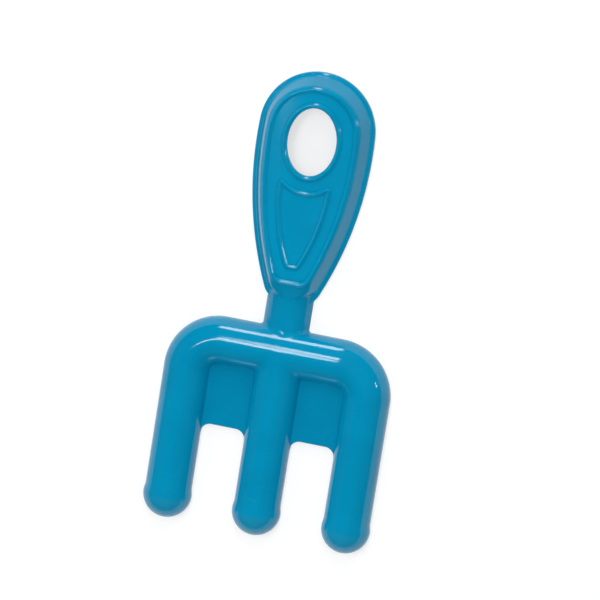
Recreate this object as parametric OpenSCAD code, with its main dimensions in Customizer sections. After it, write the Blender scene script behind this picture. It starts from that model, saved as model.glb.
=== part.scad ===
// Toy sand rake, moulded in one piece: an open-backed shell with a teardrop
// handle, a short neck, a rounded crossbar and three blunt tines.
// It lies on its back rim, face up: +Y runs to the handle, +Z out of the face.

/* [Shell] */
// Wall thickness of the moulding
wall = 2; // [1.6:0.1:2.4]

/* [Fork] */
// Width of a tine and of the crossbar
tine_w = 20.8; // [16:0.2:24]
// Straight skirt under the half-round section
skirt_h = 1.1; // [0.6:0.1:2.5]
// Distance between neighbouring tines, centre to centre
tine_pitch = 41; // [36:0.5:50]
// From the middle of the crossbar to the tips of the tines
tine_reach = 84.3; // [65:0.5:100]
// Inside radius of the bend from the crossbar to an outer tine
bend_inner_r = 4.2; // [2:0.2:8]
// How much the ball end stands out from its tine
tip_flare = 0.5; // [0.2:0.1:1]

/* [Webs] */
// Thickness of the flat webs between the tines
web_t = 2; // [1.6:0.1:2.6]
// Depth of a web below the crossbar
web_depth = 28.2; // [15:0.5:40]
// Radius in the corners of the gap under a web
notch_r = 4.5; // [2:0.5:7]

/* [Neck] */
// Width of the neck at its rim
neck_w = 21; // [16:0.5:26]
// Height of the neck
neck_h = 7.2; // [6:0.1:8.5]
// Free length of the neck between crossbar and handle
neck_len = 12.1; // [8:0.5:20]

/* [Handle] */
// Length of the handle
handle_len = 103.2; // [90:0.5:120]
// Radius of the round top of the handle
top_r = 25.9; // [23:0.1:29]
// Radius of the long curved flanks
flank_r = 161; // [140:1:200]
// Angle above level where the top arc runs into a flank
flank_angle = 3.1; // [1:0.1:6]
// Width of the flat lip round the handle
lip_w = 1.7; // [1.2:0.1:3]
// Width of the sloping shoulder, seen from above
shoulder_w = 3.9; // [3:0.1:6]
// Height of the grip panel
panel_h = 10; // [9:0.1:12]
// From the foot of the handle to the lower edge of the panel
ramp_len = 8.6; // [8:0.1:12]
// Slope of the ramp from the panel down to the neck
ramp_angle = 26; // [20:1:35]
// Width of the steep step below the ramp, seen from above
step_w = 1.6; // [0.8:0.1:2.4]

/* [Hanging hole] */
// Width of the oval hole
hole_w = 22.4; // [18:0.2:26]
// Height of the oval hole
hole_h = 30.6; // [27:0.2:34]
// From the top of the handle to the middle of the hole
hole_drop = 30.1; // [27:0.1:32]

/* [Raised beads] */
// Radius of the bead round the panel
rim_bead_r = 1.1; // [0.6:0.1:1.3]
// Radius of the bead round the hole
hole_bead_r = 1; // [0.5:0.1:1.2]
// Radius of the bead that draws the shield
shield_bead_r = 0.9; // [0.5:0.1:1.1]
// Width of the shield at its top
shield_w = 21.8; // [16:0.2:26]
// Width of the shield at its bottom
shield_tip_w = 4.8; // [3:0.2:8]
// Height of the shield at its corners
shield_h = 37; // [28:0.5:40]
// How deep its upper edge sags in the middle
shield_sag = 4; // [2:0.1:6]
// How far its long sides bow outwards
shield_bow = 2.1; // [1:0.1:3]
// From the lower edge of the panel to the bottom of the shield
shield_gap = 8.4; // [4:0.1:9]

/* [Hidden] */
$fn = 96;
overrun = 1;
skin = 0.1;
knot_swell = 0.1;
outline_steps = 20;
bead_steps = 12;

// Places along Y, with the tips at one end and the handle at the other
total_len = tine_reach + tine_w / 2 + neck_len + handle_len;
tip_y = -total_len / 2;
bar_y = tip_y + tine_reach;
foot_y = bar_y + tine_w / 2 + neck_len;
top_y = foot_y + handle_len;

// Fork
tine_r = tine_w / 2;
tip_r = tine_r + tip_flare;
tip_c_y = tip_y + tip_r;
bend_r = bend_inner_r + tine_r;
bend_x = tine_pitch - bend_r;
bend_y = bar_y - bend_r;
web_y = bar_y - tine_r - web_depth;
gap_w = tine_pitch - tine_w;

// Neck: a slice of a circle that stands neck_h above the rim
neck_r = (neck_h * neck_h + neck_w * neck_w / 4) / (2 * neck_h);
neck_c_z = neck_h - neck_r;

// Handle outline: top arc, two flanks, two corners and a flat foot
shoulder_h = panel_h - wall;
crest_in = lip_w + shoulder_w;
corner_r = crest_in + max(wall, 2 * rim_bead_r + 4 * skin);
top_c = [0, top_y - top_r];
flank_c = top_c - (flank_r - top_r) * [cos(flank_angle), sin(flank_angle)];
ramp_y = foot_y + ramp_len;

// Hole and beads
hole_y = top_y - hole_drop;
bead_sink = wall / 4;
bead_turns = [0:36:180];

// Shield
shield_y = ramp_y + shield_gap;

// Half-round section on a straight skirt, for the crossbar and the tines
module bar_section(r, drop = 0) {
    intersection() {
        union() {
            translate([0, skirt_h]) circle(r);
            translate([-r, -drop]) square([2 * r, skirt_h + drop]);
        }
        translate([-r, -drop]) square([2 * r, skirt_h + r + drop]);
    }
}

// Ball end: the same section turned about its own middle
module tip_dome(r, drop = 0) {
    rotate_extrude() intersection() {
        bar_section(r, drop);
        translate([0, -drop]) square([r, skirt_h + r + drop]);
    }
}

// Straight run of the section, from one point to another along -Y
module tine_run(r, from_y, to_y, drop = 0) {
    translate([0, from_y, 0]) rotate([90, 0, 0]) linear_extrude(from_y - to_y) bar_section(r, drop);
}

// Crossbar, two bends and three tines, made smaller by inset for the hollow
module fork_body(inset = 0, drop = 0) {
    r = tine_r - inset;
    translate([-bend_x, bar_y, 0]) rotate([90, 0, 90])
        linear_extrude(2 * bend_x) bar_section(r, drop);
    tine_run(r, bar_y, tip_c_y, drop);
    for (side = [0, 1]) mirror([side, 0, 0]) {
        translate([bend_x, bend_y, 0]) rotate_extrude(angle = 90)
            translate([bend_r, 0]) bar_section(r, drop);
        translate([tine_pitch, 0, 0]) tine_run(r, bend_y, tip_c_y, drop);
    }
    for (i = [-1:1]) translate([i * tine_pitch, tip_c_y, 0]) tip_dome(tip_r - inset, drop);
}

// Flat web between two tines, with a rounded gap below it
module web() {
    half = tine_pitch / 2;
    corner = gap_w / 2 - notch_r;
    translate([half, 0, 0]) linear_extrude(web_t) difference() {
        translate([-half, web_y - notch_r]) square([tine_pitch, bar_y - web_y + notch_r]);
        for (side = [-1, 1]) translate([side * corner, web_y - notch_r]) circle(notch_r);
        translate([-corner, web_y - notch_r]) square([2 * corner, notch_r]);
        translate([-gap_w / 2, web_y - notch_r - overrun]) square([gap_w, overrun]);
    }
}

// Neck: a low arch from the crossbar to the ramp of the handle
module neck_body(inset = 0, drop = 0) {
    r = neck_r - inset;
    translate([0, bar_y, 0]) rotate([90, 0, 180]) linear_extrude(ramp_y - bar_y)
        intersection() {
            translate([0, neck_c_z]) circle(r);
            translate([-r, -drop]) square([2 * r, neck_h + drop]);
        }
}

// Points of an arc
function arc_points(c, r, from, to, steps) =
    [for (i = [0:steps]) let (turn = from + (to - from) * i / steps) c + r * [cos(turn), sin(turn)]];

// Handle outline, moved inwards by edge[0] all round and by edge[1] at the foot
function half_outline(edge, steps) =
    let (corner = corner_r - edge[0],
         rise = foot_y + edge[1] + corner - flank_c.y,
         run = sqrt(pow(flank_r - corner_r, 2) - pow(rise, 2)),
         turn = atan2(rise, run))
    concat(arc_points(flank_c + [run, rise], corner, -90, turn, steps),
           arc_points(flank_c, flank_r - edge[0], turn, flank_angle, steps),
           arc_points(top_c, top_r - edge[0], flank_angle, 90, steps));
function handle_outline(edge, steps = outline_steps) = let (half = half_outline(edge, steps))
    concat(half, [for (i = [len(half) - 2:-1:0]) [-half[i].x, half[i].y]]);

// Space above the ramp, cut from the lower end of the raised panel
module above_ramp(inset) {
    translate([0, ramp_y, panel_h]) rotate([ramp_angle, 0, 0])
        translate([-total_len / 2, -total_len, -inset]) cube([total_len, total_len + inset, total_len]);
}

// Sloping block between two levels of the outline, cut off by the ramp
module raised_block(low_edge, low_z, high_edge, high_z, inset = 0) {
    difference() {
        hull() {
            translate([0, 0, low_z]) linear_extrude(skin) polygon(handle_outline(low_edge));
            translate([0, 0, high_z - skin]) linear_extrude(skin) polygon(handle_outline(high_edge));
        }
        above_ramp(inset);
    }
}

// Flat lip and sloping shoulder round the raised grip panel, steeper at the foot
module handle_body() {
    linear_extrude(wall) polygon(handle_outline([0, 0]));
    raised_block([lip_w, lip_w], wall - skin, [crest_in, lip_w + step_w], panel_h);
}
module handle_hollow() {
    function within(run, depth) = lip_w + (wall * norm([run, shoulder_h]) + depth * run) / shoulder_h;
    raised_block([for (run = [shoulder_w, step_w]) within(run, -wall - overrun)], -overrun,
                 [for (run = [shoulder_w, step_w]) within(run, shoulder_h - wall)],
                 panel_h - wall, wall);
}

// Oval, wider by grow all round
function oval(grow = 0) = [for (turn = [0:5:355])
    [(hole_w / 2 + grow) * cos(turn), hole_y + (hole_h / 2 + grow) * sin(turn)]];

// Half-round bead on the panel, along a closed path
module bead_loop(path, r) {
    count = len(path);
    section = concat([[r, -bead_sink]], [for (turn = bead_turns) r * [cos(turn), sin(turn)]],
                     [[-r, -bead_sink]]);
    sides = len(section);
    function side_of(from, to) = let (run = to - from) [run.y, -run.x] / norm(run);
    rings = [for (i = [0:count - 1])
        let (n1 = side_of(path[(i + count - 1) % count], path[i]),
             n2 = side_of(path[i], path[(i + 1) % count]),
             out = (n1 + n2) / (1 + n1 * n2))
        for (p = section) [path[i].x + out.x * p.x, path[i].y + out.y * p.x, panel_h + p.y]];
    faces = [for (i = [0:count - 1], j = [0:sides - 1])
        let (a = i * sides, b = (i + 1) % count * sides, k = (j + 1) % sides)
        each [[a + j, a + k, b + k], [a + j, b + k, b + j]]];
    polyhedron(rings, faces);
}

// Bead round the edge of the panel, with a straight lower edge
module rim_bead() {
    edge = rim_bead_r + skin;
    bead_loop(handle_outline([crest_in + edge, ramp_len + edge], bead_steps), rim_bead_r);
}

// Stroke of the shield outline that bows to its right, with a round knot at its far end
module stroke(from, to, bow) {
    run = to - from;
    r = (pow(bow, 2) + pow(norm(run) / 2, 2)) / (2 * bow);
    half_turn = asin(norm(run) / 2 / r);
    centre = (from + to) / 2 + (r - bow) * [-run.y, run.x] / norm(run);
    translate([centre.x, centre.y, panel_h])
        rotate([0, 0, atan2(run.y, run.x) - 90 - half_turn])
            rotate_extrude(angle = 2 * half_turn) translate([r, 0]) circle(shield_bead_r);
    translate([to.x, to.y, panel_h]) sphere(shield_bead_r + knot_swell);
}

// Shield outline on the grip, its upper edge hollowed to follow the hole
module shield_bead() {
    top = [shield_w / 2, shield_y + shield_h];
    tip = [shield_tip_w / 2, shield_y];
    stroke([-top.x, top.y], [-tip.x, tip.y], shield_bow);
    translate([-tip.x, tip.y, panel_h]) rotate([0, 90, 0]) cylinder(r = shield_bead_r, h = shield_tip_w);
    translate([tip.x, tip.y, panel_h]) sphere(shield_bead_r + knot_swell);
    stroke(tip, top, shield_bow);
    stroke([-top.x, top.y], top, shield_sag);
    translate([-top.x, top.y, panel_h]) sphere(shield_bead_r + knot_swell);
}

// The whole moulding: outer forms, less the hollow back and the hole
module rake_moulding() {
    color("deepskyblue") difference() {
        union() {
            difference() {
                union() {
                    fork_body();
                    neck_body();
                    handle_body();
                    for (side = [0, 1]) mirror([side, 0, 0]) web();
                }
                fork_body(wall, overrun);
                neck_body(wall, overrun);
                handle_hollow();
            }
            rim_bead();
            bead_loop(oval(hole_bead_r), hole_bead_r);
            shield_bead();
        }
        translate([0, 0, -overrun]) linear_extrude(panel_h + 2 * overrun) polygon(oval());
    }
}

rake_moulding();
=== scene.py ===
import math

import bpy
import numpy as np
from mathutils import Matrix, Vector


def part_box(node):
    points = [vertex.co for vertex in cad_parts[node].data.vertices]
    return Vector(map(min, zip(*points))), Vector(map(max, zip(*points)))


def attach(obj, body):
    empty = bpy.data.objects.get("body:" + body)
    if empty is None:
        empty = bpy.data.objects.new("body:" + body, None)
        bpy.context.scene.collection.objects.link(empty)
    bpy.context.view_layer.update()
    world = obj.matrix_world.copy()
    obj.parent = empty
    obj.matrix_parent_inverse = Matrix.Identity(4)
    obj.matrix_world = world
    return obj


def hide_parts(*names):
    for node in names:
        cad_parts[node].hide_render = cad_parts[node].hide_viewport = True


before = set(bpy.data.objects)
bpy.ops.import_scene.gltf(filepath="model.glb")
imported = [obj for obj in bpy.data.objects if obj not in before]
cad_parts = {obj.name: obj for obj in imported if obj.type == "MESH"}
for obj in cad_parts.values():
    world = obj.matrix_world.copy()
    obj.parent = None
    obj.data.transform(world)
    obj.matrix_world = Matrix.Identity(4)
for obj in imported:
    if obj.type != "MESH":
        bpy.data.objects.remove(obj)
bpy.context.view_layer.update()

# The moulding: the whole rake is one shot of blue polypropylene, an open-backed shell with an even wall. Its
# face is worked out as distances in metres to the fork, the neck, the raised grip, the lip and the webs, and
# the hollow behind is the first three of them, moved in by the wall.
low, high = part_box("rake_moulding")
wall = 0.0020


def joined(a, b, fillet):
    """Smaller of two distances, with a fillet where they differ by less than its width."""
    return np.minimum(a, b) - np.clip(fillet - np.abs(a - b), 0, None) ** 2 / (4 * fillet)


def shared(a, b, fillet):
    """Larger of two distances, rounded over in the same way."""
    return -joined(-a, -b, fillet)


# The fork: a crossbar that bends into a tine at each end, with a third tine straight out of its middle.
tine_radius = 0.0104
tine_pitch = 0.0410
skirt_height = 0.0011
tip_radius = 0.0109
tip_y = low.y + tip_radius
tip_swell, crest_swell = 0.0042, 0.0090
bar_from_tips = 0.0843
bar_y = low.y + bar_from_tips
inner_bend = 0.0042
bend_radius = inner_bend + tine_radius
bend_x = tine_pitch - bend_radius
bend_y = bar_y - bend_radius
foot_fillet, crest_fillet = 0.0008, 0.0036
crossing_steepness = 3


def fork(x, y, z):
    """Distance to a half-round bar on a skirt: crossbar, a quarter ring at each end, and three tines with
    ball ends. The distance in plan to the nearest middle line is one leg, the height over the skirt is the
    other. The middle tine joins in plan, more softly towards the crest, so that the crest stays level."""
    side = np.abs(x)
    over = np.clip(z - skirt_height, 0, None)
    bar = np.hypot(np.clip(side - bend_x, 0, None), y - bar_y)
    ring = np.abs(np.hypot(side - bend_x, y - bend_y) - bend_radius)
    bar = np.where((side > bend_x) & (y > bend_y), ring, bar)
    below = np.clip(tip_y - y, 0, None)
    outer = np.hypot(side - tine_pitch, below + np.clip(y - bend_y, 0, None))
    middle = np.hypot(side, below + crossing_steepness * np.clip(y - bar_y, 0, None))
    near_tip = np.clip(1 - (y - tip_y) / tip_swell, 0, 1)
    wide = tine_radius + (tip_radius - tine_radius) * near_tip**2 * (3 - 2 * near_tip)
    near_tip = np.clip(1 - (y - tip_y) / crest_swell, 0, 1)
    tall = tine_radius + (tip_radius - tine_radius) * near_tip**2 * (3 - 2 * near_tip)
    fillet = foot_fillet + crest_fillet * np.clip(over / tine_radius, 0, 1) ** 2
    leg = np.clip(joined(np.minimum(bar, outer), middle, fillet), 0, None)
    return np.hypot(leg * tall / wide, over) - tall


# The neck: a low arch from the crossbar to the ramp at the handle's foot.
neck_half, neck_height, neck_length = 0.0105, 0.0072, 0.0121
foot_y = bar_y + tine_radius + neck_length
ramp_length = 0.0086
ramp_y = foot_y + ramp_length


def neck(x, y, z):
    """Distance to a low arch: a long cylinder whose middle lies under the rim."""
    radius = (neck_height**2 + neck_half**2) / (2 * neck_height)
    arch = np.hypot(x, z - neck_height + radius) - radius
    return np.maximum(arch, np.maximum(bar_y - y, y - ramp_y))


# The handle's outline: arcs that touch, round the top, down both flanks and round the corners of the foot.
top_radius = 0.0259
top_y = high.y - top_radius
flank_radius = 0.1610
flank_turn = math.radians(3.1)
flank_x = -(flank_radius - top_radius) * math.cos(flank_turn)
flank_y = top_y - (flank_radius - top_radius) * math.sin(flank_turn)
corner_radius = 0.0081
corner_y = foot_y + corner_radius
corner_run = math.sqrt((flank_radius - corner_radius) ** 2 - (corner_y - flank_y) ** 2)
corner_x = flank_x + corner_run


def handle_edge(x, y):
    """Distance in plan to the teardrop outline: round top, long flank arcs, corner arcs and a flat foot.
    The second result leaves the foot and the corners out."""
    side = np.abs(x)
    flank = np.hypot(side - flank_x, y - flank_y) - flank_radius
    top = np.hypot(side, y - top_y) - top_radius
    corner = np.hypot(side - corner_x, y - corner_y) - corner_radius
    above = (y - flank_y) * math.cos(flank_turn) > (side - flank_x) * math.sin(flank_turn)
    below = (y - flank_y) * corner_run < (corner_y - flank_y) * (side - flank_x)
    edge = np.where(above, top, np.maximum(flank, foot_y - y))
    return np.where(below & (side > corner_x), corner, edge), np.where(above, top, flank)


# The grip: it stands on the lip, with a sloping shoulder, a step and a ramp at the foot, and a crowned face.
lip_width, shoulder_width, step_width = 0.0017, 0.0039, 0.0016
panel_height, panel_crown, crown_half = 0.0100, 0.0010, 0.0190
shoulder_lean = shoulder_width / (panel_height - wall)
step_lean = step_width / (panel_height - wall)
ramp_slope = math.radians(26)
ramp_lean = 1 / math.tan(ramp_slope)
grip_corner = 0.0055
ramp_rounding, panel_rounding = 0.0012, 0.0014


def panel_top(x):
    """Height of the grip's face: a shallow crown, half over and half under its mean height."""
    return panel_height + panel_crown * (0.5 - (x / crown_half) ** 2)


def grip(x, y, z):
    """Distance to the raised grip. At each height its plan is the outline moved in, by one lean at the sides
    and by a step or a ramp at the foot, with round corners between them: the overrun past both limits is one
    length, taken by its two legs, less the corner radius. It is divided by its slope, and the crown closes
    it above."""
    up = z - wall
    side_over = handle_edge(x, y)[1] + lip_width + up * shoulder_lean
    step_in = lip_width + up * step_lean
    ramp_in = ramp_y - foot_y - (panel_height - z) * ramp_lean
    foot_over = foot_y + shared(step_in, ramp_in, ramp_rounding) - y
    side_leg = np.clip(side_over + grip_corner, 0, None)
    foot_leg = np.clip(foot_over + grip_corner, 0, None)
    legs = np.hypot(side_leg, foot_leg)
    deep = np.minimum(np.maximum(side_over, foot_over) + grip_corner, 0)
    share = np.where(legs > 0, foot_leg / legs.clip(1e-9), foot_over > side_over)
    foot_lean = np.where(ramp_in > step_in, ramp_lean, step_lean)
    rise = np.sqrt(1 - share**2) * shoulder_lean + share * foot_lean
    return shared((legs + deep - grip_corner) / np.sqrt(1 + rise**2), z - panel_top(x), panel_rounding)


# The webs: plates as thick as the wall that tie the tines together at the back.
web_length = 0.0282
web_y = bar_y - tine_radius - web_length
notch_radius = 0.0045
notch_half = tine_pitch / 2 - tine_radius
inner_rounding = 0.0006


def web(x, y, z):
    """Distance to the flat plates between the tines, each with a notch below that has round corners."""
    side = np.abs(np.abs(x) - tine_pitch / 2) - notch_half + notch_radius
    down = y - web_y + notch_radius
    notch = np.hypot(np.clip(side, 0, None), np.clip(down, 0, None))
    notch += np.minimum(np.maximum(side, down), 0)
    limits = np.maximum(np.maximum(np.abs(x) - tine_pitch, y - bar_y), web_y - notch_radius - y)
    return np.maximum(shared(notch_radius - notch, z - wall, inner_rounding), limits)


# All of it together, with the flat lip round the grip and the oval hanging hole.
hole_drop = 0.0301
hole_y = high.y - hole_drop
hole_half = np.array([0.0112, 0.0153])
neck_fillet, grip_fillet, web_fillet, lip_fillet = 0.0016, 0.0008, 0.0006, 0.0009
lip_rounding, rim_rounding = 0.0007, 0.0003


def moulding(x, y, z):
    """Distance to the finished shell: core, lip and webs, less the core moved in by the wall, less the hole.
    The hole's distance is how far out of the oval a place is, as a share, over the slope of that share."""
    core = joined(joined(fork(x, y, z), neck(x, y, z), neck_fillet), grip(x, y, z), grip_fillet)
    lip = shared(handle_edge(x, y)[0], z - wall, lip_rounding)
    body = joined(joined(core, web(x, y, z), web_fillet), lip, lip_fillet)
    across, along = x / hole_half[0], (y - hole_y) / hole_half[1]
    ratio = np.hypot(across, along) + 1e-9
    hole = ratio * (ratio - 1) / np.hypot(across / hole_half[0], along / hole_half[1]).clip(1)
    shell = shared(body, -(core + wall), inner_rounding)
    return shared(shared(shell, -hole, inner_rounding), -z, rim_rounding)


def lean(solid, places, reach):
    """Direction in which the distance grows at each place, from differences over a small reach."""
    steps = reach * np.eye(3)
    rise = [solid(*(places + s).T) - solid(*(places - s).T) for s in steps]
    rise = np.stack(rise, axis=1)
    return rise / np.linalg.norm(rise, axis=1, keepdims=True).clip(1e-12)


def skin_of(solid, low, high, step):
    """Points and four-sided faces of the surface where the distance is nought, by dual contouring on a grid.
    Each cell that the surface crosses holds one point, where the planes that touch the surface at the
    crossed edges of the cell meet. Each crossed edge gives one face, whose corners are the points of the
    cells round it."""
    ticks = [np.arange(a - 1.5 * step, b + 2.5 * step, step) for a, b in zip(low, high)]
    start = np.array([t[0] for t in ticks])
    shape = np.array([len(t) for t in ticks])
    value = solid(*np.meshgrid(*ticks, indexing="ij", sparse=True))
    places, rings = [], []
    halvings, lean_share, stay_near_centre = 4, 0.02, 0.02
    for axis in range(3):
        ahead = np.take(value, range(1, shape[axis]), axis)
        here = np.take(value, range(shape[axis] - 1), axis)
        index = np.argwhere((here < 0) != (ahead < 0))
        a, b = here[tuple(index.T)], ahead[tuple(index.T)]
        unit = np.eye(3, dtype=int)[axis]
        near, far = np.zeros(len(a)), np.ones(len(a))
        inner = a < 0
        for _ in range(halvings):
            part = (near * b - far * a) / (b - a)
            middle = solid(*(start + step * (index + part[:, None] * unit)).T)
            swap = (middle < 0) == inner
            near, a = np.where(swap, part, near), np.where(swap, middle, a)
            far, b = np.where(swap, far, part), np.where(swap, b, middle)
        part = (near * b - far * a) / (b - a)
        u, v = np.roll(unit, 1), np.roll(unit, 2)
        ring = index[:, None] - np.stack([u + v, v, 0 * u, u])
        ring[~inner] = ring[~inner][:, ::-1]
        places.append(start + step * (index + part[:, None] * unit))
        rings.append(np.ravel_multi_index(ring.transpose(2, 0, 1), shape))
    places, rings = np.concatenate(places), np.concatenate(rings)
    lie = lean(solid, places, lean_share * step)
    cells, faces = np.unique(rings, return_inverse=True)
    faces = faces.reshape(rings.shape)
    owner = faces.ravel()
    count = np.bincount(owner)

    def per_cell(amount):
        """The sum over the crossed edges of each cell."""
        return np.bincount(owner, np.repeat(amount, 4), len(cells))

    centre = np.stack([per_cell(places[:, k]) for k in range(3)], axis=1) / count[:, None]
    normal = np.stack([[per_cell(lie[:, j] * lie[:, k]) for k in range(3)] for j in range(3)])
    normal = normal.transpose(2, 0, 1)
    reach = (lie * places).sum(1)
    pull = np.stack([per_cell(lie[:, k] * reach) for k in range(3)], axis=1)
    pull -= np.einsum("ijk,ik->ij", normal, centre)
    move = np.linalg.solve(normal + stay_near_centre * np.eye(3), pull[..., None])[..., 0]
    points = centre + np.clip(move, -step, step)
    return points, faces


def add_piece(name, points, faces):
    """A piece of the rake from its points and faces, riding on the one body; the moulding's CAD part is
    hidden.
    """
    shape = bpy.data.meshes.new(name)
    shape.from_pydata(points, [], faces)
    shape.update()
    piece = bpy.data.objects.new(name, shape)
    bpy.context.scene.collection.objects.link(piece)
    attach(piece, "root")
    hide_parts("rake_moulding")
    return piece


grid_step = 0.00066
points, faces = skin_of(moulding, np.array(low), np.array(high), grid_step)
rake = add_piece("rake_body", points, faces)

# Each face corner takes the true direction of the form. Where the directions round a point nearly agree,
# they are made one, so that the plastic shines evenly, and elsewhere the edge stays crisp.
corner_share, middle_share = 0.8, 0.2
corner_place = corner_share * points[faces] + middle_share * points[faces].mean(axis=1, keepdims=True)
lean_reach = 0.000012
corner_lean = lean(moulding, corner_place.reshape(-1, 3), lean_reach)
owner = faces.ravel()
mean_lean = np.stack([np.bincount(owner, corner_lean[:, k]) for k in range(3)], axis=1)
mean_lean /= np.linalg.norm(mean_lean, axis=1, keepdims=True).clip(1e-12)
crisp_turn = math.radians(24)
alike = (corner_lean * mean_lean[owner]).sum(1) > math.cos(crisp_turn)
smooth = np.bincount(owner, ~alike) == 0
corner_lean = np.where(smooth[owner][:, None], mean_lean[owner], corner_lean)
rake.data.normals_split_custom_set(corner_lean)

# The raised beads on the grip, of the same plastic: one round the edge of the panel, one round the hole and
# one that draws a shield. They come out of the same mould, so they run straight into the panel.


def arc(centre, radius, start, end, steps):
    """Points along part of a circle, from one angle to another."""
    turn = np.linspace(start, end, steps)[:, None]
    return np.array(centre) + radius * np.hstack([np.cos(turn), np.sin(turn)])


def bowed(start, end, bow, steps):
    """Points from one place to another on a curve that bows to its right: a parabola over its chord."""
    along = np.linspace(0, 1, steps)[:, None]
    run = np.subtract(end, start)
    right_hand = np.array([run[1], -run[0]]) / np.linalg.norm(run)
    return start + run * along + right_hand * bow * 4 * along * (1 - along)


def both_sides(half):
    """A closed path from its right half, which runs from the bottom to the top."""
    return np.vstack([half, (half * [-1, 1])[::-1]])


def softened(path, spacing, width):
    """The path again, at even spacing and with its corners rounded by a running mean of that width."""
    ends = np.vstack([path, path[:1]])
    length = np.concatenate([[0], np.cumsum(np.linalg.norm(np.diff(ends, axis=0), axis=1))])
    count = int(length[-1] / spacing)
    at = np.linspace(0, length[-1], count, endpoint=False)
    even = np.stack([np.interp(at, length, ends[:, k]) for k in range(2)], axis=1)
    reach = max(1, round(width / spacing / 2))
    return np.mean([np.roll(even, s, axis=0) for s in range(-reach, reach + 1)], axis=0)


bead_flare, bead_points, foot_starts = 1.35, 19, 0.95
bead_sink, foot_sink = 0.00003, 0.0012


def add_bead(name, path, half_width, height):
    """A bell, the square of a cosine, carried along a closed path on the crowned panel, its foot sunk in."""
    ahead = np.roll(path, -1, axis=0) - np.roll(path, 1, axis=0)
    out = np.stack([ahead[:, 1], -ahead[:, 0]], axis=1) / np.linalg.norm(ahead, axis=1, keepdims=True)
    part = np.linspace(1, -1, bead_points)
    sink = np.where(np.abs(part) < foot_starts, bead_sink, foot_sink)
    rise = height * np.cos(part * math.pi / 2) ** 2 - sink
    plan = path[:, None] + out[:, None] * (bead_flare * half_width * part)[:, None]
    level = panel_top(plan[..., 0]) + rise
    grid = np.concatenate([plan, level[..., None]], axis=2)
    rows, columns = grid.shape[:2]
    here = np.arange(rows * columns).reshape(rows, columns)
    after = np.roll(here, -1, axis=0)
    quads = np.stack([here, after, np.roll(after, -1, axis=1), np.roll(here, -1, axis=1)], axis=2)
    bead = add_piece(name, grid.reshape(-1, 3), quads.reshape(-1, 4))
    bead.data.shade_smooth()
    return bead


bead_spacing = 0.0004
rim_half, rim_height, rim_softness = 0.0011, 0.00083, 0.0070
rim_in = lip_width + shoulder_width + rim_half
rim_foot = ramp_y + rim_half
rim_turn = math.asin((rim_foot - flank_y) / (flank_radius - rim_in))
rim_path = softened(both_sides(np.vstack([
    arc((flank_x, flank_y), flank_radius - rim_in, rim_turn, flank_turn, 200),
    arc((0, top_y), top_radius - rim_in, flank_turn, math.pi / 2, 100),
])), bead_spacing, rim_softness)
rim_bead = add_bead("panel_bead", rim_path, rim_half, rim_height)

hole_bead_half, hole_bead_height = 0.0010, 0.00077
hole_turn = np.linspace(0, 2 * math.pi, 240, endpoint=False)[:, None]
hole_path = np.hstack([np.cos(hole_turn), np.sin(hole_turn)]) * (hole_half + hole_bead_half)
hole_path += [0, hole_y]
hole_bead = add_bead("hole_bead", hole_path, hole_bead_half, hole_bead_height)

shield_half_width, shield_height, shield_softness = 0.0009, 0.00072, 0.0018
shield_foot = ramp_y + 0.0084
shield_top = shield_foot + 0.0370
shield_corner, shield_tip = 0.0109, 0.0024
top_dip, side_bow = 0.0040, 0.0021
shield_path = softened(np.vstack([
    bowed((shield_corner, shield_top), (-shield_corner, shield_top), -top_dip, 60),
    bowed((-shield_corner, shield_top), (-shield_tip, shield_foot), side_bow, 80),
    bowed((shield_tip, shield_foot), (shield_corner, shield_top), side_bow, 80),
])[::-1], bead_spacing, shield_softness)
shield_bead = add_bead("shield_bead", shield_path, shield_half_width, shield_height)

# The plastic: glossy blue polypropylene, with a faint mould grain, light scuffs from handling and paler worn
# edges. Painted shade darkens the blue in the folds and along the feet of the beads, and a painted
# reflection makes the tine tips paler.
point_reach, near_by = 0.00002, 0.0009
straight_out = lean(moulding, points, point_reach)
sharp = np.clip(1 + moulding(*(points - near_by * straight_out).T) / near_by, 0, 1)
# Painted shade: how far each point lies inside a concave fold, later used to darken its colour.
fold_shade = np.clip(1 - moulding(*(points + near_by * straight_out).T) / near_by, 0, 1)
panel_low, panel_foot = 0.0088, ramp_y - 0.002
on_panel = np.flatnonzero((points[:, 2] > panel_low) & (points[:, 1] > panel_foot))
# Painted shade: a dark line along both feet of every bead on the panel, added to the shade in the folds.
crease_shade_strength, crease_place, crease_width = 0.9, 1.2, 0.0005
for path, half_width in (
    (rim_path, rim_half),
    (hole_path, hole_bead_half),
    (shield_path, shield_half_width),
):
    apart = points[on_panel, None, :2] - path[None, ::2]
    nearest = np.sqrt((apart**2).sum(2).min(1))
    crease_shade = crease_shade_strength * np.exp(-((nearest - crease_place * half_width) / crease_width) ** 2)
    fold_shade[on_panel] = np.maximum(fold_shade[on_panel], crease_shade)
# Painted reflection: the last few millimetres of each tine turn a paler, greyer blue, for the floor mirrored
# in the downturned ends.
sheen_above_tip, sheen_fade = 0.0010, 0.0030
tip_sheen = np.clip((tip_y + sheen_above_tip - points[:, 1]) / sheen_fade, 0, 1)
# The attributes carry the worn edges, the painted shade in the folds and at the bead feet, and the painted
# reflection on the tips.
for name, amount in (("worn_edge", sharp), ("shade_in_folds", fold_shade), ("tip_sheen", tip_sheen)):
    rake.data.attributes.new(name, "FLOAT", "POINT").data.foreach_set("value", amount.astype(np.float32))


def new_group(name, inputs, outputs):
    """An empty node group with these sockets, and its first and last nodes."""
    group = bpy.data.node_groups.new(name, "ShaderNodeTree")
    for label, kind, start in inputs:
        socket = group.interface.new_socket(label, in_out="INPUT", socket_type=kind)
        if start is not None:
            socket.default_value = start
    for label, kind in outputs:
        group.interface.new_socket(label, in_out="OUTPUT", socket_type=kind)
    return group, group.nodes.new("NodeGroupInput"), group.nodes.new("NodeGroupOutput")


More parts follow.
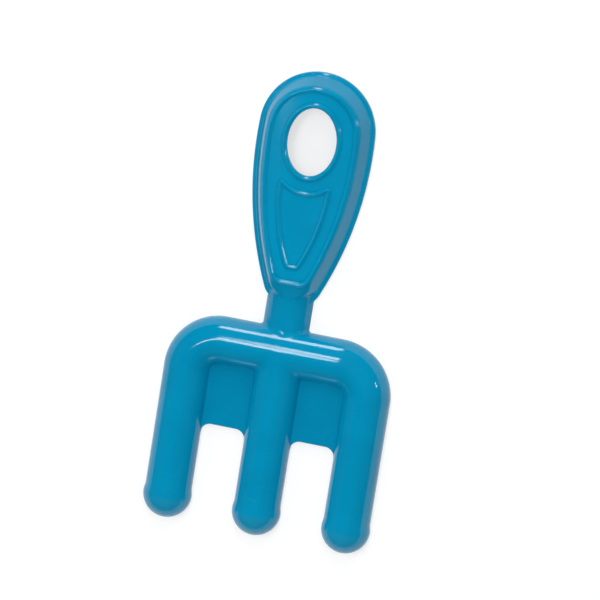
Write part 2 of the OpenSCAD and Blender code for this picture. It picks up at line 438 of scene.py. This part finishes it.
def add_node(tree, kind, links=(), **settings):
    """A node with its settings, and with links from (output socket) to (input name or number)."""
    node = tree.nodes.new(kind)
    for label, amount in settings.items():
        setattr(node, label, amount)
    for source, target in links:
        tree.links.new(source, node.inputs[target])
    return node


def fitted(tree, source, from_low, from_high, to_low, to_high):
    """A value moved from one range to another and kept within it, with soft ends."""
    node = add_node(tree, "ShaderNodeMapRange", [(source, "Value")], interpolation_type="SMOOTHSTEP")
    node.inputs["From Min"].default_value = from_low
    node.inputs["From Max"].default_value = from_high
    node.inputs["To Min"].default_value = to_low
    node.inputs["To Max"].default_value = to_high
    return node.outputs["Result"]


def product(tree, a, b):
    """Two values multiplied."""
    return add_node(tree, "ShaderNodeMath", [(a, 0), (b, 1)], operation="MULTIPLY").outputs[0]


def added(tree, source, share, base):
    """A value times a share, added to another value."""
    node = add_node(tree, "ShaderNodeMath", [(source, 0), (base, 2)], operation="MULTIPLY_ADD")
    node.inputs[1].default_value = share
    return node.outputs[0]


def clouds(tree, source, scale, detail):
    """Cloudy noise over a place, at a number of clouds to the metre and with some finer detail."""
    node = add_node(tree, "ShaderNodeTexNoise", [(source, "Vector")])
    node.inputs["Scale"].default_value = scale
    node.inputs["Detail"].default_value = detail
    return node.outputs["Fac"]


grain_group, start, end = new_group("mould_grain", [("Vector", "NodeSocketVector", None)],
                                    [("Grain", "NodeSocketFloat"), ("Flow", "NodeSocketFloat")])
grain_group.links.new(clouds(grain_group, start.outputs[0], 1500, 3), end.inputs["Grain"])
grain_group.links.new(clouds(grain_group, start.outputs[0], 70, 1), end.inputs["Flow"])

scuff_group, start, end = new_group("handling_scuffs", [("Vector", "NodeSocketVector", None)],
                                    [("Scuff", "NodeSocketFloat")])
marks = []
for turn, cut in ((0.5, 0.73), (-0.9, 0.74)):
    turned = add_node(scuff_group, "ShaderNodeMapping", [(start.outputs[0], "Vector")])
    turned.inputs["Rotation"].default_value = (0, 0, turn)
    turned.inputs["Scale"].default_value = (45, 1300, 300)
    streaks = clouds(scuff_group, turned.outputs[0], 1, 2)
    marks.append(fitted(scuff_group, streaks, cut - 0.06, cut + 0.04, 0, 1))
either = add_node(scuff_group, "ShaderNodeMath", [(marks[0], 0), (marks[1], 1)], operation="MAXIMUM")
where_worn = fitted(scuff_group, clouds(scuff_group, start.outputs[0], 38, 2), 0.45, 0.70, 0, 1)
scuff_group.links.new(product(scuff_group, either.outputs[0], where_worn), end.inputs["Scuff"])

wear_inputs = [("Vector", "NodeSocketVector", None), ("Edge", "NodeSocketFloat", 0.0)]
wear_group, start, end = new_group("edge_wear", wear_inputs, [("Wear", "NodeSocketFloat")])
edge_line = fitted(wear_group, start.outputs["Edge"], 0.25, 0.75, 0, 1)
patches = clouds(wear_group, start.outputs["Vector"], 160, 4)
patch_amount = fitted(wear_group, patches, 0.35, 0.65, 0.35, 1)
wear_group.links.new(product(wear_group, edge_line, patch_amount), end.inputs["Wear"])

plastic = bpy.data.materials.new("blue_plastic")
plastic.use_nodes = True
tree = plastic.node_tree
shader = tree.nodes["Principled BSDF"]
shader.inputs["IOR"].default_value = 1.49
shader.inputs["Specular IOR Level"].default_value = 0.38
here = add_node(tree, "ShaderNodeTexCoord").outputs["Object"]
grain = add_node(tree, "ShaderNodeGroup", node_tree=grain_group)
scuffs = add_node(tree, "ShaderNodeGroup", node_tree=scuff_group)
wear = add_node(tree, "ShaderNodeGroup", node_tree=wear_group)
edge_value = add_node(tree, "ShaderNodeAttribute", attribute_name="worn_edge").outputs["Fac"]
# The next two carry painted shade in the folds and a painted reflection on the tine tips.
fold_shade_value = add_node(tree, "ShaderNodeAttribute", attribute_name="shade_in_folds").outputs["Fac"]
tip_sheen_value = add_node(tree, "ShaderNodeAttribute", attribute_name="tip_sheen").outputs["Fac"]
for group in (grain, scuffs, wear):
    tree.links.new(here, group.inputs["Vector"])
tree.links.new(edge_value, wear.inputs["Edge"])


def tinted(under, mask, colour):
    """The colour underneath, mixed with another by a mask."""
    node = add_node(tree, "ShaderNodeMix", [(mask, 0)], data_type="RGBA")
    if isinstance(under, tuple):
        node.inputs[6].default_value = under
    else:
        tree.links.new(under, node.inputs[6])
    node.inputs[7].default_value = colour
    return node.outputs[2]


blue, paler_blue = (0.0, 0.252, 0.450, 1), (0.0, 0.268, 0.474, 1)
# The darker fold colour is painted shade.
fold_shade_blue, worn_blue = (0.0, 0.190, 0.360, 1), (0.060, 0.400, 0.600, 1)
# The tip colour is a painted reflection.
scuffed_blue, tip_sheen_blue = (0.100, 0.420, 0.600, 1), (0.009, 0.270, 0.465, 1)
shade = tinted(blue, fitted(tree, grain.outputs["Flow"], 0.30, 0.70, 0, 1), paler_blue)
# Painted shade: the folds and the feet of the beads darkened.
shade = tinted(shade, fitted(tree, fold_shade_value, 0.15, 0.9, 0, 0.75), fold_shade_blue)
shade = tinted(shade, fitted(tree, wear.outputs["Wear"], 0, 1, 0, 0.12), worn_blue)
shade = tinted(shade, fitted(tree, scuffs.outputs["Scuff"], 0, 1, 0, 0.08), scuffed_blue)
# Painted reflection: the tine tips made paler and greyer.
shade = tinted(shade, fitted(tree, tip_sheen_value, 0, 1, 0, 1), tip_sheen_blue)
tree.links.new(shade, shader.inputs["Base Color"])
gloss = fitted(tree, grain.outputs["Grain"], 0.3, 0.7, 0.07, 0.10)
gloss = added(tree, scuffs.outputs["Scuff"], 0.10, gloss)
gloss = added(tree, wear.outputs["Wear"], 0.06, gloss)
tree.links.new(gloss, shader.inputs["Roughness"])
relief = added(tree, grain.outputs["Flow"], 12.0, grain.outputs["Grain"])
bump = add_node(tree, "ShaderNodeBump", [(relief, "Height")])
bump.inputs["Strength"].default_value = 0.35
bump.inputs["Distance"].default_value = 0.000004
tree.links.new(bump.outputs["Normal"], shader.inputs["Normal"])
for piece in (rake, rim_bead, hole_bead, shield_bead):
    piece.data.materials.append(plastic)

# The stage: a white floor a hair under the rims, a dim room, soft lamps all round for an even light, long
# tubes overhead and beyond the handle that draw the streaks on the crossbar, and a small lamp at the right
# for the glint on the bend.
floor_mesh = bpy.data.meshes.new("floor")
half_floor = 3.0
floor_level = -0.00005
floor_corners = [(-half_floor, -half_floor, floor_level), (half_floor, -half_floor, floor_level),
                 (half_floor, half_floor, floor_level), (-half_floor, half_floor, floor_level)]
floor_mesh.from_pydata(floor_corners, [], [(0, 1, 2, 3)])
floor = bpy.data.objects.new("floor", floor_mesh)
bpy.context.scene.collection.objects.link(floor)
paper = bpy.data.materials.new("white_paper")
paper.use_nodes = True
paper_shader = paper.node_tree.nodes["Principled BSDF"]
paper_grey, paper_lift = 0.45, 0.60
paper_shader.inputs["Base Color"].default_value = (paper_grey, paper_grey, paper_grey, 1)
paper_shader.inputs["Roughness"].default_value = 0.9
paper_shader.inputs["Specular IOR Level"].default_value = 0.1


def any_view(tree):
    """One where the eye, a gloss or a clear body looks on, and nought for plain light."""
    seen_by = add_node(tree, "ShaderNodeLightPath").outputs
    eye_or_gloss = add_node(tree, "ShaderNodeMath", [
        (seen_by["Is Camera Ray"], 0), (seen_by["Is Glossy Ray"], 1)], operation="MAXIMUM")
    return add_node(tree, "ShaderNodeMath", [
        (eye_or_gloss.outputs[0], 0), (seen_by["Is Transmission Ray"], 1)], operation="MAXIMUM").outputs[0]


paper_tree = paper.node_tree
lift = add_node(paper_tree, "ShaderNodeMath", [(any_view(paper_tree), 0)], operation="MULTIPLY")
lift.inputs[1].default_value = paper_lift
paper_shader.inputs["Emission Color"].default_value = (1, 1, 1, 1)
paper_tree.links.new(lift.outputs[0], paper_shader.inputs["Emission Strength"])
floor_mesh.materials.append(paper)

# The room is dim. A low white wall goes all round it, which only the eye and the gloss see.
world = bpy.data.worlds.new("room")
bpy.context.scene.world = world
world.use_nodes = True
room_tree = world.node_tree
room_shader = room_tree.nodes["Background"]
room_shader.inputs["Color"].default_value = (1, 1, 1, 1)
room_light = 0.03
look = add_node(room_tree, "ShaderNodeTexCoord").outputs["Generated"]
look_up = add_node(room_tree, "ShaderNodeSeparateXYZ", [(look, 0)]).outputs["Z"]
wall_top, wall_fade = 0.07, 0.10
wall_share = fitted(room_tree, look_up, wall_top, wall_fade, 1, 0)
wall_seen = product(room_tree, wall_share, any_view(room_tree))
wall_light = add_node(room_tree, "ShaderNodeMath", [(wall_seen, 0)], operation="MULTIPLY_ADD")
wall_light.inputs[1].default_value = 1 - room_light
wall_light.inputs[2].default_value = room_light
room_tree.links.new(wall_light.outputs[0], room_shader.inputs["Strength"])


def add_lamp(name, place, along, length, width, level, in_gloss):
    """A rectangular lamp at a place, its length along a direction, turned to face the rake. Its level is how
    bright it makes a white sheet at the rake: its power over the square of pi times the distance."""
    lamp = bpy.data.lights.new(name, "AREA")
    lamp.shape = "RECTANGLE"
    lamp.size, lamp.size_y = length, width
    lamp.energy = level * (math.pi * Vector(place).length) ** 2
    holder = bpy.data.objects.new(name, lamp)
    back = Vector(place).normalized()
    run = Vector(along) - back * back.dot(Vector(along))
    run.normalize()
    turn = Matrix((run, back.cross(run), back)).transposed().to_4x4()
    holder.matrix_world = Matrix.Translation(place) @ turn
    holder.visible_glossy = in_gloss
    bpy.context.scene.collection.objects.link(holder)


for name, place, size, level in (
    ("soft_front", (0.55, 0.45, 2.4), 2.2, 0.23),
    ("soft_right", (2.2, 0.0, 1.3), 1.8, 0.20),
    ("soft_left", (-2.2, 0.0, 1.3), 1.8, 0.31),
    ("soft_handle", (0.0, 2.2, 1.3), 1.8, 0.42),
    ("soft_tips", (0.0, -2.2, 1.3), 1.8, 0.30),
):
    along = (0, 1, 0) if abs(place[1]) < 1 else (1, 0, 0)
    add_lamp(name, place, along, size, size, level, False)


def add_tube(name, start, end, width, level):
    """A long narrow lamp between two places."""
    middle = (Vector(start) + Vector(end)) / 2
    run = Vector(end) - Vector(start)
    add_lamp(name, middle, run, run.length, width, level, True)


add_tube("tube_over_fork", (-0.53, -0.10, 1.42), (-0.35, 0.19, 1.43), 0.085, 0.078)
add_tube("tube_over_neck", (-0.30, 0.17, 1.43), (-0.245, 0.42, 1.363), 0.150, 0.093)
add_tube("tube_over_grip", (-0.228, 0.49, 1.335), (-0.19, 0.74, 1.25), 0.130, 0.081)
add_tube("tube_beyond_handle", (-0.38, 1.32, 0.52), (-0.10, 1.45, 0.20), 0.230, 0.205)
add_lamp("lamp_right", (1.32, 0.43, 0.65), (0, 0, 1), 0.15, 0.15, 0.05745, True)

# The camera looks down on the rake from the handle's end and a little from its right, and is tilted. The
# middle of the rake lies at the origin, which is placed in the frame by its pixels.
eye_right, eye_up, tilt = (math.radians(a) for a in (10.0, 11.1, 9.13))
frame_px = 600
px_per_metre = 2268.0
origin_px = (289.6, 305.3)
flat_right = Vector((math.cos(eye_right), 0, -math.sin(eye_right)))
level_eye = Vector((math.sin(eye_right), 0, math.cos(eye_right)))
eye = level_eye * math.cos(eye_up) + Vector((0, math.sin(eye_up), 0))
flat_up = eye.cross(flat_right)
right = flat_right * math.cos(tilt) + flat_up * math.sin(tilt)
up = flat_up * math.cos(tilt) - flat_right * math.sin(tilt)
eye_distance = 2.0
lens = bpy.data.cameras.new("camera")
lens.sensor_width = 36.0
lens.lens = px_per_metre * eye_distance * lens.sensor_width / frame_px
lens.clip_start, lens.clip_end = 0.05, 20
camera = bpy.data.objects.new("camera", lens)
aim = right * ((frame_px / 2 - origin_px[0]) / px_per_metre)
aim -= up * ((frame_px / 2 - origin_px[1]) / px_per_metre)
turn = Matrix((right, up, eye)).transposed().to_4x4()
camera.matrix_world = Matrix.Translation(aim + eye * eye_distance) @ turn
bpy.context.scene.collection.objects.link(camera)
bpy.context.scene.camera = camera
bpy.context.scene.view_settings.view_transform = "Standard"
